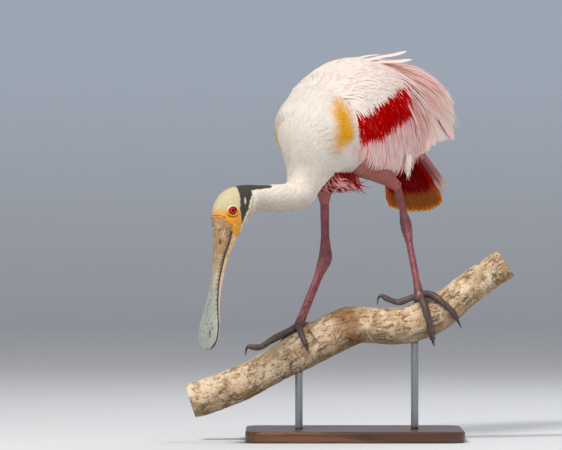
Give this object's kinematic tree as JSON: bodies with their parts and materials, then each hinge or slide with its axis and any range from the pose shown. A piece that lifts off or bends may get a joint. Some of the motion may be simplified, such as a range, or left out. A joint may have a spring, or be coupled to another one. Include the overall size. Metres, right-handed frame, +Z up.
{
  "type": "wading bird model",
  "caption": "Life-size still model of a pink wading bird with a spoon-shaped bill, leaning down from a cut branch held on a flat display stand.",
  "frame": {"origin": "point on the underside of the stand's base below the middle of the branch", "axes": "+Z up; +X along the branch towards its rising end; the bird's bill points down towards -X and -Y"},
  "size_m": [0.4374, 0.4, 0.5164],
  "materials": {
    "white_plumage": "soft matt feathers, cream white",
    "pink_plumage": "soft matt feathers, pale pink with a crimson bar",
    "red_plumage": "soft matt feathers, crimson with ochre orange tips",
    "pink_thigh": "short close feathers, dull pink",
    "bare_head": "bare wrinkled skin, greenish cream and yellow",
    "bill_horn": "satin horn, mottled grey and tan",
    "eye": "clear and wet, red iris and black pupil",
    "leg_skin": "scaly skin, dull rose and dark grey",
    "claw_horn": "satin black horn",
    "bark": "rough cracked bark, sawn ends",
    "stained_wood": "dark stained, satin",
    "rod_steel": "satin"
  },
  "bodies": {
    "root": {"torso": "white_plumage", "neck_lower": "white_plumage", "neck_upper": "white_plumage", "head": "bare_head", "eye_left": "eye", "eye_right": "eye", "bill_upper": "bill_horn", "bill_lower": "bill_horn", "thigh_left": "pink_thigh", "shin_left": "leg_skin", "shank_left": "leg_skin", "claw_left_inner": "claw_horn", "claw_left_middle": "claw_horn", "claw_left_outer": "claw_horn", "claw_left_hind": "claw_horn", "foot_left": "leg_skin", "thigh_right": "pink_thigh", "shin_right": "leg_skin", "shank_right": "leg_skin", "claw_right_inner": "claw_horn", "claw_right_middle": "claw_horn", "claw_right_outer": "claw_horn", "claw_right_hind": "claw_horn", "foot_right": "leg_skin", "tail": "red_plumage", "wing_left": "pink_plumage", "wing_right": "pink_plumage", "branch": "bark", "stand_base": "stained_wood", "stand_rod_1": "rod_steel", "stand_rod_2": "rod_steel"}
  },
  "joints": []
}
